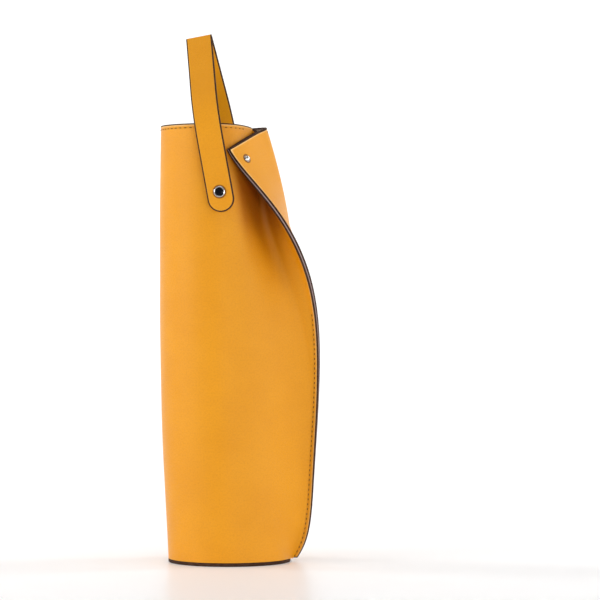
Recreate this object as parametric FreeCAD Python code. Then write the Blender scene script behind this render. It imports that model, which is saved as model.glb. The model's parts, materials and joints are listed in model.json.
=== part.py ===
import FreeCAD, Part
import math
import os

# A leather carrier for one bottle: a wrapped wall with a stitched fin seam, a round base,
# a folded flap with a rivet, and a creased strap handle on a snap and a rear rivet.
# Millimetres. Z is up, the origin is the centre of the base on the floor, the front faces -Y.

Vector = FreeCAD.Vector
os.makedirs("parts", exist_ok=True)

# Sizes of the wall and the base
body_height = 356.0
base_radius = 50.0
leather_thickness = 1.1
lining_thickness = 0.6
fin_gap = 0.25
base_leather_thickness = 3.0
base_board_thickness = 2.0
base_lining_thickness = 0.6
base_board_clearance = 1.5
wall_trim = 0.6
cut_overrun = 5.0

# Sizes of the stitching
thread_radius = 0.3
thread_sink = 0.1
seam_stitch_inset = 3.3
seam_stitch_pitch = 4.0
rim_stitch_inset = 3.3
rim_stitch_pitch = 4.7

# Sizes of the strap handle
strap_width = 21.4
strap_layer_thickness = 1.4
strap_end_length = 16.4
strap_bend_radius = 70.0
handle_rise = 74.0
crease_gap = 0.3
strap_bend_degrees = 38.0
handle_lean_degrees = 10.4

# Sizes of the fasteners
fastener_drop = 55.5
post_clearance = 0.05
seat_gap = 0.05
snap_cap_radius = 4.6
snap_cap_height = 1.3
snap_inlay_radius = 3.4
snap_inlay_depth = 0.6
snap_stem_radius = 1.5
snap_ball_radius = 1.6
snap_ball_height = 2.4
snap_ball_clearance = 0.2
snap_neck_radius = 1.2
snap_socket_radius = 4.0
snap_plate_thickness = 0.5
snap_stud_radius = 4.2
snap_flange_thickness = 0.6
snap_post_radius = 0.8
snap_back_gap = 0.4
rear_cap_radius = 4.6
rear_cap_height = 1.6
rear_post_radius = 1.6
rear_strap_gap = 1.85
rear_washer_radius = 3.6
rear_washer_thickness = 0.7
rear_washer_gap = 0.95
flap_cap_radius = 2.9
flap_cap_height = 1.6
flap_post_radius = 1.0
flap_back_radius = 3.2
flap_back_thickness = 0.7
flap_back_gap = 1.2

# Places on the wall, as shares of the way round the wall and of the way up it
snap_round_share = 0.308
rear_round_share = 0.653
flap_round_share = 0.9867
flap_up_share = 0.9577
rim_front_share = 0.235
rim_back_share = 0.86
seam_top_share = 0.57

# The wall's sections from the bottom to the rim. Across, forward, left, tube and bend are shares of
# the base radius and drop is a share of the body height. Lift and bow count wall thicknesses, and
# side is how much the bend leans out from the fin.
# tip and root are the fin's free edge and foot, valley is the foot of its front panel, tube is the
# round part, and front and back are the directions, in degrees, where the panels leave it.
section_shares = [
    # tip across, forward, drop, root across, forward, valley across, forward, left, tube, front,
    # back, lift, bow, bend, side
    (1.120, 0.000, 0.0062, 1.010, 0.000, 1.010, 0.000, 1.000, 1.000, -34, 34, 0.0, 0.0, 0.1088, 1.6),
    (1.210, 0.010, 0.0045, 1.090, 0.005, 1.090, 0.005, 1.008, 1.000, -42, 40, 0.0, 0.0, 0.1768, 1.5),
    (1.310, 0.030, 0.0022, 1.185, 0.020, 1.185, 0.020, 1.032, 1.002, -48, 46, 0.0, 0.0, 0.2516, 1.2),
    (1.376, 0.070, 0.0000, 1.255, 0.052, 1.255, 0.052, 1.068, 1.000, -50, 49, 0.0, 0.0, 0.2856, 0.9),
    (1.416, 0.120, 0.0000, 1.300, 0.092, 1.300, 0.092, 1.098, 0.994, -51, 50, 0.0, 0.0, 0.2924, 0.8),
    (1.452, 0.190, 0.0000, 1.335, 0.150, 1.300, 0.165, 1.118, 0.986, -51, 50, 0.0, 0.0, 0.2924, 0.7),
    (1.468, 0.290, 0.0000, 1.345, 0.225, 1.290, 0.252, 1.130, 0.980, -52, 48, 0.0, 0.0, 0.2788, 0.6),
    (1.444, 0.420, 0.0000, 1.280, 0.280, 1.185, 0.360, 1.138, 0.972, -56, 46, 0.0, 0.0, 0.2516, 0.5),
    (1.344, 0.570, -0.0014, 1.140, 0.255, 1.010, 0.350, 1.142, 0.966, -61, 43, 0.0, 0.0, 0.2176, 0.5),
    (1.130, 0.744, -0.0084, 1.005, 0.170, 0.770, 0.265, 1.142, 0.962, -66, 40, 0.0, 0.0, 0.187, 0.5),
    (0.816, 0.885, -0.0225, 0.905, 0.200, 0.610, 0.245, 1.140, 0.955, -69, 36, 0.0, 0.0, 0.17, 0.5),
    (0.375, 0.970, -0.0421, 0.704, 0.233, 0.660, 0.235, 1.134, 0.925, -68, 30, 0.5, 0.0, 0.17, 0.5),
    (0.066, 0.912, -0.0534, 0.552, 0.220, 0.552, 0.220, 1.128, 0.878, -68, 25, 0.9, 0.3, 0.17, 0.5),
    (-0.031, 0.913, -0.0590, 0.463, 0.269, 0.463, 0.269, 1.124, 0.846, -69, 22, 1.2, 1.8, 0.17, 0.5),
]
# How far along the fin its poles stand, and how much of the drop each pole takes
fin_near_share = 0.4
fin_middle_share = 0.5
drop_shares = (1.0, 0.6, 0.35, 0.2, 0.1, 0.05)
bend_reach_share = 0.45
stitch_fill_share = 0.62
patch_shares = (0.0, 0.2, 0.8, 1.0)
foot_step_share = 0.01

# Shares that shape the snap's rim and its socket
cap_shoulder_share = 0.9
cap_outer_share = 0.25
cap_inner_share = 0.2
socket_side_share = 0.7
socket_top_share = 0.85

# Counts of poles and samples
tube_poles = 9
samples_round = 109
samples_up = 57
fine_count = 400
inset_count = 60
dome_count = 9
cup_steps = 8
ball_steps = 12

wall_thickness = leather_thickness + lining_thickness
wall_bottom = base_leather_thickness - wall_trim
strap_thickness = strap_layer_thickness + strap_layer_thickness
fastener_height = body_height - fastener_drop
handle_height = fastener_drop + handle_rise


def unit(vector):
    return vector * (1.0 / vector.Length)


def knot_values(count):
    spans = count - 3
    return [index / spans for index in range(spans + 1)]


def greville_shares(count):
    knots = [0.0] * 3 + knot_values(count) + [1.0] * 3
    return [sum(knots[index + 1:index + 4]) / 3 for index in range(count)]


def fin_side(tip, root, foot, side, shoulder, bow, bend, lean_out):
    # Poles of one panel, from its free edge along the fin and round its own foot
    length = (tip - root).Length
    along = unit(tip - root)
    lift = Vector(along.y, -along.x, 0) * (side * fin_gap / 2)
    near = min(bend, length * fin_near_share)
    middle = root + along * (near + (length - near) * fin_middle_share) + bow
    climb = unit(tip - foot)
    foot_near = foot + climb * min(bend, (tip - foot).Length * fin_near_share)
    outward = Vector(climb.y, -climb.x, 0) * side
    turn = unit(unit(shoulder - foot) - climb + outward * lean_out)
    corner = foot + turn * bend
    reach = shoulder - corner
    last = corner + unit(reach) * min(bend, reach.Length * bend_reach_share)
    return [place + lift for place in (tip, middle, foot_near, foot)] + [corner, last]


def section_poles(row, up_share):
    tip_x, tip_y, drop, root_x, root_y, valley_x, valley_y = row[:7]
    left, tube, front, back, lift, bow, bend, lean_out = row[7:]
    radius = base_radius * tube - wall_thickness
    middle = Vector(base_radius * (tube - left), 0, 0)
    first = math.radians(front)
    last = math.radians(back - 360)
    step = (last - first) / (tube_poles - 1)
    pole_radius = radius * 3 / (2 + math.cos(step))
    turns = [first + step * index for index in range(tube_poles)]
    tube_row = [middle + Vector(math.cos(turn), math.sin(turn), 0) * pole_radius for turn in turns]
    tip = Vector(tip_x, -tip_y, 0) * base_radius
    root = Vector(root_x, -root_y, 0) * base_radius
    valley = Vector(valley_x, -valley_y, 0) * base_radius
    along = unit(tip - root)
    away = Vector(-along.y, along.x, 0) * wall_thickness
    tip, root, valley = [place + away * lift for place in (tip, root, valley)]
    fold = (away * bow, base_radius * bend, lean_out)
    front_row = fin_side(tip, root, valley, 1, tube_row[0], *fold)
    back_row = fin_side(tip, root, root, -1, tube_row[-1], *fold)
    shares = list(drop_shares) + [0.0] * tube_poles + list(reversed(drop_shares))
    height = wall_bottom + up_share * (body_height - wall_bottom)
    places = front_row + tube_row + list(reversed(back_row))
    heights = [height + body_height * drop * share for share in shares]
    return [place + Vector(0, 0, up) for place, up in zip(places, heights)]


def reference_face():
    # The inner face of the wall: u runs round it from the front edge of the fin to the back edge
    ups = greville_shares(len(section_shares))
    net = [section_poles(row, up) for row, up in zip(section_shares, ups)]
    poles = [list(column) for column in zip(*net)]
    u_knots = knot_values(len(poles))
    v_knots = knot_values(len(net))
    u_counts = [4] + [1] * (len(u_knots) - 2) + [4]
    v_counts = [4] + [1] * (len(v_knots) - 2) + [4]
    face = Part.BSplineSurface()
    face.buildFromPolesMultsKnots(poles, u_counts, v_counts, u_knots, v_knots, False, False, 3, 3)
    return face


inner_face = reference_face()


def outward_at(u, v):
    slope_u, slope_v = inner_face.tangent(u, v)
    return unit(slope_v.cross(slope_u))


def wall_point(u, v, depth):
    return inner_face.value(u, v) + outward_at(u, v) * depth


def curve_through(points, places):
    curve = Part.BSplineCurve()
    curve.interpolate(Points=points, Parameters=places)
    return curve


def foot_share(u, depth):
    # How far up the wall's lower edge stands on the base, where the fin doesn't hold it higher
    low = wall_point(u, 0, depth).z
    rise = wall_point(u, foot_step_share, depth).z - low
    return max(0.0, (base_leather_thickness + seat_gap - low) / rise * foot_step_share)


def offset_face(depth):
    # A face at one depth in the wall, from its lower edge on the base to the rim
    rounds = [index / (samples_round - 1) for index in range(samples_round)]
    ups = [index / (samples_up - 1) for index in range(samples_up)]
    feet = [foot_share(u, depth) for u in rounds]
    rings = []
    for up in ups:
        row = [wall_point(u, foot + (1 - foot) * up, depth) for u, foot in zip(rounds, feet)]
        rings.append(curve_through(row, rounds))
    nets = [curve_through(list(poles), ups) for poles in zip(*[ring.getPoles() for ring in rings])]
    ring = rings[0]
    net = nets[0]
    face = Part.BSplineSurface()
    face.buildFromPolesMultsKnots(
        [line.getPoles() for line in nets], ring.getMultiplicities(), net.getMultiplicities(),
        ring.getKnots(), net.getKnots(), False, False, 3, 3)
    return face


def side_face(near_curve, far_curve):
    wires = [Part.Wire(curve.toShape()) for curve in (near_curve, far_curve)]
    return Part.makeLoft(wires, False, True).Faces


def layer_between(near, far):
    # A closed sheet between two offset faces, in patches so that the folded fin is apart from the tube
    faces = side_face(near.uIso(0), far.uIso(0)) + side_face(near.uIso(1), far.uIso(1))
    for first, last in zip(patch_shares, patch_shares[1:]):
        near_patch = near.copy()
        far_patch = far.copy()
        for patch in (near_patch, far_patch):
            patch.segment(first, last, 0, 1)
            faces.append(patch.toShape())
        for v in (0, 1):
            faces += side_face(near_patch.vIso(v), far_patch.vIso(v))
    shell = Part.Shell(faces)
    shell.sewShape()
    solid = Part.Solid(shell)
    if solid.Volume < 0:
        solid.reverse()
    return solid


def cylinder(radius, start, direction, length):
    return Part.makeCylinder(radius, length, start, direction)


def through_wall(start, direction, radius, length):
    return cylinder(radius, start - direction * length, direction, length + length)


def turned(points, start, direction):
    # A solid of revolution: points are (radius, height) and the axis starts at start
    outline = [Vector(radius, 0, height) for radius, height in points]
    outline.append(outline[0])
    face = Part.Face(Part.makePolygon(outline))
    solid = face.revolve(Vector(0, 0, 0), Vector(0, 0, 1), 360)
    solid.Placement = FreeCAD.Placement(start, FreeCAD.Rotation(Vector(0, 0, 1), direction))
    return solid


def dome_points(radius, height):
    # A cap's crown from its edge to its middle, as a quarter of an ellipse
    turns = [math.pi / 2 * index / (dome_count - 1) for index in range(dome_count)]
    return [(radius * math.cos(turn), height * math.sin(turn)) for turn in turns]


def save(name, shape):
    shape.exportStep("parts/" + name + ".step")
    print(name, "solids", len(shape.Solids), "volume", round(shape.Volume, 1), "valid", shape.isValid())


# The fasteners' places
fastener_up = (fastener_height - wall_bottom) / (body_height - wall_bottom)
snap_seat = wall_point(snap_round_share, fastener_up, wall_thickness)
snap_out = outward_at(snap_round_share, fastener_up)
snap_inside = wall_point(snap_round_share, fastener_up, 0)
ball_centre = snap_seat + snap_out * snap_ball_height
rear_seat = wall_point(rear_round_share, fastener_up, wall_thickness)
swivel_axis = unit(rear_seat - ball_centre)
flap_seat = wall_point(flap_round_share, flap_up_share, wall_thickness)
flap_out = outward_at(flap_round_share, flap_up_share)

# The wall: leather bonded to its lining, with holes for the three fasteners
lining_face = offset_face(lining_thickness)
outer_leather = layer_between(lining_face, offset_face(wall_thickness))
body_lining = layer_between(offset_face(0), lining_face)
flap_stack = wall_thickness * 3
flap_reach = flap_stack + cut_overrun + cut_overrun
hole_cuts = [
    through_wall(snap_seat, snap_out, snap_post_radius + post_clearance, wall_thickness + cut_overrun),
    through_wall(rear_seat, swivel_axis, rear_post_radius + post_clearance, wall_thickness + cut_overrun),
    cylinder(flap_post_radius + post_clearance, flap_seat + flap_out * cut_overrun, -flap_out, flap_reach),
]
for hole in hole_cuts:
    outer_leather = outer_leather.cut(hole)
    body_lining = body_lining.cut(hole)
save("outer_leather", outer_leather)
save("body_lining", body_lining)

# The base: a round leather with a painted edge, a stiffening board and its lining
board_radius = base_radius - wall_thickness - base_board_clearance
board_top = base_leather_thickness + base_board_thickness
save("base_leather", Part.makeCylinder(base_radius, base_leather_thickness))
save("base_board", Part.makeCylinder(board_radius, base_board_thickness, Vector(0, 0, base_leather_thickness)))
save("base_lining", Part.makeCylinder(board_radius, base_lining_thickness, Vector(0, 0, board_top)))


# The stitches
def lengths_along(points):
    total = 0.0
    lengths = [total]
    for first, second in zip(points, points[1:]):
        total = total + (second - first).Length
        lengths.append(total)
    return lengths


def value_at(wanted, lengths, values):
    for index in range(1, len(lengths)):
        if lengths[index] >= wanted:
            part = (wanted - lengths[index - 1]) / (lengths[index] - lengths[index - 1])
            return values[index - 1] + (values[index] - values[index - 1]) * part
    return values[-1]


def stitches(place_at, total, pitch):
    bars = []
    half = pitch * stitch_fill_share / 2
    count = int(total / pitch)
    for index in range(count):
        middle = (index + 0.5) * total / count
        start = place_at(middle - half)
        end = place_at(middle + half)
        bars.append(cylinder(thread_radius, start, unit(end - start), (end - start).Length))
    return bars


thread_depth = wall_thickness + thread_radius - thread_sink
fine_steps = [index / fine_count for index in range(fine_count + 1)]


def seam_bars(at_front):
    edge = 0.0 if at_front else 1.0
    turn = 1 if at_front else -1
    lengths = lengths_along([inner_face.value(edge, v) for v in fine_steps])

    def place(length):
        v = value_at(length, lengths, fine_steps)
        rounds = [edge + turn * step for step in fine_steps[:inset_count]]
        across = lengths_along([inner_face.value(u, v) for u in rounds])
        u = value_at(seam_stitch_inset, across, rounds)
        return wall_point(u, v, thread_depth)

    sewn = value_at(seam_top_share, fine_steps, lengths)
    return stitches(place, sewn, seam_stitch_pitch)


def rim_bars(first_u, last_u):
    def rim_place(u):
        ups = [1.0 - step for step in fine_steps[:inset_count]]
        down = lengths_along([inner_face.value(u, v) for v in ups])
        return value_at(rim_stitch_inset, down, ups)

    rounds = [first_u + (last_u - first_u) * step for step in fine_steps]
    heights = [rim_place(u) for u in rounds]
    lengths = lengths_along([inner_face.value(u, v) for u, v in zip(rounds, heights)])

    def place(length):
        u = value_at(length, lengths, rounds)
        return wall_point(u, value_at(length, lengths, heights), thread_depth)

    return stitches(place, lengths[-1], rim_stitch_pitch)


save("side_seam_thread", Part.makeCompound(seam_bars(True) + seam_bars(False)))
save("rim_thread", Part.makeCompound(rim_bars(rim_front_share, rim_back_share)))

# The strap's own frame: Y runs from the snap to the rear rivet, Z runs up to the crease
lean = math.radians(handle_lean_degrees)
level_side = unit(swivel_axis.cross(Vector(0, 0, 1)))
level_up = level_side.cross(swivel_axis)
strap_up = level_up * math.cos(lean) - level_side * math.sin(lean)
strap_side = swivel_axis.cross(strap_up)
cup_radius = snap_ball_radius + snap_ball_clearance
socket_seat = cup_radius + snap_plate_thickness + seat_gap
half_distance = (rear_seat - ball_centre).Length / 2
front_face_distance = half_distance + socket_seat
rear_face_distance = half_distance + rear_strap_gap
span = (front_face_distance + rear_face_distance) / 2 + strap_layer_thickness
strap_middle = (ball_centre + rear_seat) * 0.5
strap_middle = strap_middle + swivel_axis * ((rear_face_distance - front_face_distance) / 2)
strap_place = FreeCAD.Placement(FreeCAD.Matrix(
    strap_side.x, swivel_axis.x, strap_up.x, strap_middle.x,
    strap_side.y, swivel_axis.y, strap_up.y, strap_middle.y,
    strap_side.z, swivel_axis.z, strap_up.z, strap_middle.z,
    0, 0, 0, 1))
bend = math.radians(strap_bend_degrees)
straight_top = (span - strap_bend_radius * (1 - math.cos(bend))) / math.sin(bend)
bend_start = handle_height - strap_bend_radius * math.sin(bend) - straight_top * math.cos(bend)


def leg_path(offset):
    # Points of the leg's side outline at one offset: start, middle and end of the bend, and the crease
    radius = strap_bend_radius + offset
    centre = span - strap_bend_radius
    turns = (0.0, bend / 2, bend)
    points = [(centre + radius * math.cos(turn), bend_start + radius * math.sin(turn)) for turn in turns]
    run = (points[-1][0] - crease_gap / 2) / math.sin(bend)
    points.append((crease_gap / 2, points[-1][1] + run * math.cos(bend)))
    return points


def strap_leg(side, near, far):
    # One layer of one leg; side is -1 in front and 1 at the rear
    half_width = strap_width / 2

    def spot(point):
        return Vector(-half_width, side * point[0], point[1])

    near_points = [spot(point) for point in leg_path(near)]
    far_points = [spot(point) for point in leg_path(far)]
    edges = [
        Part.Arc(near_points[0], near_points[1], near_points[2]).toShape(),
        Part.makeLine(near_points[2], near_points[3]),
        Part.makeLine(near_points[3], far_points[3]),
        Part.makeLine(far_points[3], far_points[2]),
        Part.Arc(far_points[2], far_points[1], far_points[0]).toShape(),
        Part.makeLine(far_points[0], near_points[0]),
    ]
    upper = Part.Face(Part.Wire(edges)).extrude(Vector(strap_width, 0, 0))
    level = side * (span + near)
    round_height = half_width - strap_end_length
    corners = [
        Vector(-half_width, level, bend_start),
        Vector(-half_width, level, round_height),
        Vector(0, level, -strap_end_length),
        Vector(half_width, level, round_height),
        Vector(half_width, level, bend_start),
    ]
    end_edges = [
        Part.makeLine(corners[0], corners[1]),
        Part.Arc(corners[1], corners[2], corners[3]).toShape(),
        Part.makeLine(corners[3], corners[4]),
        Part.makeLine(corners[4], corners[0]),
    ]
    lower = Part.Face(Part.Wire(end_edges)).extrude(Vector(0, side * (far - near), 0))
    leg = upper.fuse(lower).removeSplitter()
    bore_radius = (snap_stem_radius if side < 0 else rear_post_radius) + post_clearance
    bore = cylinder(bore_radius, Vector(0, -2 * span, 0), Vector(0, 1, 0), 4 * span)
    leg = leg.cut(bore)
    leg.Placement = strap_place
    return leg


for leg_name, side in (("strap_front", -1), ("strap_rear", 1)):
    save(leg_name + "_outer", strap_leg(side, 0, strap_layer_thickness))
    save(leg_name + "_inner", strap_leg(side, -strap_layer_thickness, 0))

# The snap: cap with a dark inlay and socket on the strap, stud and post on the wall
front_out = -swivel_axis
cap_seat = ball_centre + front_out * (socket_seat + strap_thickness + seat_gap)
stem_length = strap_thickness + seat_gap + seat_gap + snap_plate_thickness
rim_width = snap_cap_radius - snap_inlay_radius
inlay_floor = snap_cap_height - snap_inlay_depth
cap_points = [
    (0, -stem_length),
    (snap_stem_radius, -stem_length),
    (snap_stem_radius, 0),
    (snap_cap_radius, 0),
    (snap_cap_radius, snap_cap_height / 2),
    (snap_cap_radius - rim_width * cap_outer_share, snap_cap_height * cap_shoulder_share),
    (snap_cap_radius - rim_width / 2, snap_cap_height),
    (snap_inlay_radius + rim_width * cap_inner_share, snap_cap_height * cap_shoulder_share),
    (snap_inlay_radius, inlay_floor),
    (0, inlay_floor),
]
save("snap_cap", turned(cap_points, cap_seat, front_out))
inlay_edge = snap_inlay_radius - post_clearance
inlay_side = inlay_floor + snap_inlay_depth / 2
inlay_points = [(0, inlay_floor), (inlay_edge, inlay_floor)]
inlay_points += [(r, inlay_side + h) for r, h in dome_points(inlay_edge, snap_inlay_depth)]
save("snap_inlay", turned(inlay_points, cap_seat, front_out))

stem_hole = snap_stem_radius + post_clearance
hole_turn = math.acos(stem_hole / cup_radius)
cup_turns = [hole_turn * (1 - index / cup_steps) for index in range(cup_steps + 1)]
socket_top = socket_seat - seat_gap
socket_points = [(snap_socket_radius, 0), (snap_socket_radius, socket_top * socket_side_share)]
socket_points += [(snap_socket_radius * socket_top_share, socket_top), (stem_hole, socket_top)]
socket_points += [(cup_radius * math.cos(turn), cup_radius * math.sin(turn)) for turn in cup_turns]
save("snap_socket", turned(socket_points, ball_centre, front_out))

neck_turn = math.asin(snap_neck_radius / snap_ball_radius)
ball_turns = [neck_turn + (math.pi - neck_turn) * index / ball_steps for index in range(ball_steps + 1)]
ball_points = []
for turn in ball_turns:
    ball_level = snap_ball_height - snap_ball_radius * math.cos(turn)
    ball_points.append((snap_ball_radius * math.sin(turn), ball_level))
ball_points[-1] = (0, snap_ball_height + snap_ball_radius)
post_hole = snap_post_radius + post_clearance
post_top = snap_ball_height
stud_points = [(0, post_top + seat_gap), (post_hole, post_top + seat_gap), (post_hole, seat_gap)]
stud_points += [(snap_stud_radius, seat_gap), (snap_stud_radius, snap_flange_thickness)]
stud_points += [(snap_neck_radius, snap_flange_thickness)] + ball_points
save("snap_stud", turned(stud_points, snap_seat, snap_out))

flange_seat = wall_thickness + snap_back_gap
post_points = [
    (0, -flange_seat - snap_flange_thickness),
    (snap_stud_radius, -flange_seat - snap_flange_thickness),
    (snap_stud_radius, -flange_seat),
    (snap_post_radius, -flange_seat),
    (snap_post_radius, post_top),
    (0, post_top),
]
save("snap_post", turned(post_points, snap_seat, snap_out))

# The rear rivet: a domed cap outside, a post through strap and wall, a washer inside
rear_cap_seat = rear_strap_gap + strap_thickness + seat_gap
rear_hole = rear_post_radius + post_clearance
rear_post_end = rear_cap_seat + rear_cap_height / 2
rear_cap_points = [(0, rear_post_end), (rear_hole, rear_post_end), (rear_hole, rear_cap_seat)]
rear_cap_points += [(r, rear_cap_seat + h) for r, h in dome_points(rear_cap_radius, rear_cap_height)]
save("rear_rivet_cap", turned(rear_cap_points, rear_seat, swivel_axis))
washer_top = -wall_thickness - rear_washer_gap
washer_bottom = washer_top - rear_washer_thickness
rear_post_points = [(0, washer_bottom), (rear_post_radius, washer_bottom)]
rear_post_points += [(rear_post_radius, rear_post_end), (0, rear_post_end)]
save("rear_rivet_post", turned(rear_post_points, rear_seat, swivel_axis))
washer_points = [(rear_hole, washer_bottom), (rear_washer_radius, washer_bottom)]
washer_points += [(rear_washer_radius, washer_top), (rear_hole, washer_top)]
save("rear_rivet_washer", turned(washer_points, rear_seat, swivel_axis))

# The flap's rivet: a small domed cap, a post through flap and panel, a flat back inside
rivet_line = Part.makeLine(flap_seat, flap_seat - flap_out * flap_reach)
crossings = rivet_line.section(inner_face.toShape()).Vertexes
flap_depth = max((crossing.Point - flap_seat).Length for crossing in crossings)
print("flap rivet crossings", sorted(round((c.Point - flap_seat).Length, 3) for c in crossings))
back_top = -flap_depth - flap_back_gap
back_bottom = back_top - flap_back_thickness
flap_post_end = seat_gap + flap_cap_height / 2
flap_hole = flap_post_radius + post_clearance
flap_cap_points = [(0, flap_post_end), (flap_hole, flap_post_end), (flap_hole, seat_gap)]
flap_cap_points += [(r, seat_gap + h) for r, h in dome_points(flap_cap_radius, flap_cap_height)]
save("flap_rivet_cap", turned(flap_cap_points, flap_seat, flap_out))
flap_post_points = [(0, back_bottom), (flap_post_radius, back_bottom)]
flap_post_points += [(flap_post_radius, flap_post_end), (0, flap_post_end)]
save("flap_rivet_post", turned(flap_post_points, flap_seat, flap_out))
flap_back_points = [(flap_hole, back_bottom), (flap_back_radius, back_bottom)]
flap_back_points += [(flap_back_radius, back_top), (flap_hole, back_top)]
save("flap_rivet_back", turned(flap_back_points, flap_seat, flap_out))

crease_top = strap_middle + strap_up * (leg_path(strap_layer_thickness)[-1][1])
print("swivel through", ball_centre, "and", rear_seat, "along", swivel_axis)
print("snap seat", snap_seat, snap_out)
print("crease", crease_top, "side", strap_side, "up", strap_up, "middle", strap_middle)
print("bend start", bend_start, "span", span)
print("flap", flap_seat, flap_out)
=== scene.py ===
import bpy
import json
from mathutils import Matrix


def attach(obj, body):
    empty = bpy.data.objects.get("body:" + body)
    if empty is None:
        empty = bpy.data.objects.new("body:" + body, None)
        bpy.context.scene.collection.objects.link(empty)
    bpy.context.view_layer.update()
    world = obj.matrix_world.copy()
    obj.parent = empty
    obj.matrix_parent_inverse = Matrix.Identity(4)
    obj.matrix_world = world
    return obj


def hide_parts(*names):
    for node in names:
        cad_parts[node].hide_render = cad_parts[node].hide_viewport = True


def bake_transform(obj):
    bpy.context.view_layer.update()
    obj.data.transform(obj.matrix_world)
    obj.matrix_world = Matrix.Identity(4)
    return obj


bl_info = {
    "name": "Leather bottle carrier",
    "version": (1, 0, 0),
    "blender": (4, 5, 0),
    "location": "3D View > Sidebar > Carrier",
    "description": "Builds a wrapped leather bottle carrier with its strap handle, and a studio stage",
    "category": "Object",
}

import json
import math

import bpy
import numpy as np
from mathutils import Vector
from mathutils.geometry import convex_hull_2d

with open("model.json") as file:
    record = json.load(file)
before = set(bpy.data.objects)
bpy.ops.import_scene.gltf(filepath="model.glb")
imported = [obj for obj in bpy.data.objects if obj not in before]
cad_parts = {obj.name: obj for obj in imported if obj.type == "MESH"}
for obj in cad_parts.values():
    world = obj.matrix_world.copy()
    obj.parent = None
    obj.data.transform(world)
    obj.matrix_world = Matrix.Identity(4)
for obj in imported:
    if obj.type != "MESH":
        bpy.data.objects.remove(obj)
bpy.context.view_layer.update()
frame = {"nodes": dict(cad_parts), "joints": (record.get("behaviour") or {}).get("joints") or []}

# The wall's sections from the bottom to the rim, as in the part's source but with the fin's lower
# corner let out by 2 mm. Across, forward, left, tube and bend are shares of the base radius, drop is a
# share of the body height, lift and bow count wall thicknesses, front and back are the directions of
# the shoulders in degrees, and side is how much the bend leans out from the fin.
SECTION_SHARES = (
    # tip across, forward, drop, root across, forward, valley across, forward, left, tube,
    # front, back, lift, bow, bend, side
    (1.105, 0.000, 0.0006, 1.010, 0.000, 1.010, 0.000, 1.000, 1.000, -34, 34, 0.0, 0.0, 0.1088, 1.6),
    (1.258, 0.010, 0.0012, 1.125, 0.005, 1.125, 0.005, 1.008, 1.000, -42, 40, 0.0, 0.0, 0.1768, 1.5),
    (1.345, 0.030, 0.0010, 1.215, 0.020, 1.215, 0.020, 1.032, 1.002, -48, 46, 0.0, 0.0, 0.2516, 1.2),
    (1.376, 0.070, 0.0000, 1.255, 0.052, 1.255, 0.052, 1.068, 1.000, -50, 49, 0.0, 0.0, 0.2856, 0.9),
    (1.416, 0.120, 0.0000, 1.300, 0.092, 1.300, 0.092, 1.098, 0.994, -51, 50, 0.0, 0.0, 0.2924, 0.8),
    (1.452, 0.190, 0.0000, 1.335, 0.150, 1.300, 0.165, 1.118, 0.986, -51, 50, 0.0, 0.0, 0.2924, 0.7),
    (1.468, 0.290, 0.0000, 1.345, 0.225, 1.290, 0.252, 1.130, 0.980, -52, 48, 0.0, 0.0, 0.2788, 0.6),
    (1.444, 0.420, 0.0000, 1.280, 0.280, 1.185, 0.360, 1.138, 0.972, -56, 46, 0.0, 0.0, 0.2516, 0.5),
    (1.344, 0.570, -0.0014, 1.140, 0.255, 1.010, 0.350, 1.142, 0.966, -61, 43, 0.0, 0.0, 0.2176, 0.5),
    (1.130, 0.744, -0.0084, 1.005, 0.170, 0.770, 0.265, 1.142, 0.962, -66, 40, 0.0, 0.0, 0.187, 0.5),
    (0.816, 0.885, -0.0225, 0.905, 0.200, 0.610, 0.245, 1.140, 0.955, -69, 36, 0.0, 0.0, 0.17, 0.5),
    (0.375, 0.970, -0.0421, 0.704, 0.233, 0.660, 0.235, 1.134, 0.925, -68, 30, 0.5, 0.0, 0.17, 0.5),
    (0.066, 0.912, -0.0534, 0.552, 0.220, 0.552, 0.220, 1.128, 0.878, -68, 25, 0.9, 0.3, 0.17, 0.5),
    (-0.031, 0.913, -0.0590, 0.463, 0.269, 0.463, 0.269, 1.124, 0.846, -69, 22, 1.2, 1.8, 0.17, 0.5),
)
# How a section's poles are spread along the fin, round its foot and round the tube
FIN_NEAR_SHARE = 0.4
FIN_MIDDLE_SHARE = 0.5
DROP_SHARES = (1.0, 0.6, 0.35, 0.2, 0.1, 0.05)
BEND_REACH_SHARE = 0.45
TUBE_POLES = 9

# Places on the wall, as shares of the way round it and of the way up
REAR_ROUND_SHARE = 0.653
FLAP_ROUND_SHARE = 0.9867
FLAP_UP_SHARE = 0.9577
RIM_FRONT_SHARE = 0.235
RIM_BACK_SHARE = 0.845
SEAM_WIDE_SHARE = 0.42
SEAM_TOP_SHARE = 0.57
SEAM_SEARCH_SHARE = 0.15
RIM_SEARCH_SHARE = 0.96
FLAP_START_SHARE = 0.8
FLAP_FULL_SHARE = 0.86
FIN_FOOT_SHARE = 0.075
EDGE_STEP_SHARE = 0.004
# How closely the flap covers the fold, which sets the fold's painted shade: heights and covers, both as
# shares
FOLD_COVER_SHARES = (
    (0.60, 0.0), (0.70, 0.22), (0.74, 0.40), (0.78, 0.76), (0.85, 1.0), (0.90, 0.9), (0.96, 0.2))

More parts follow.
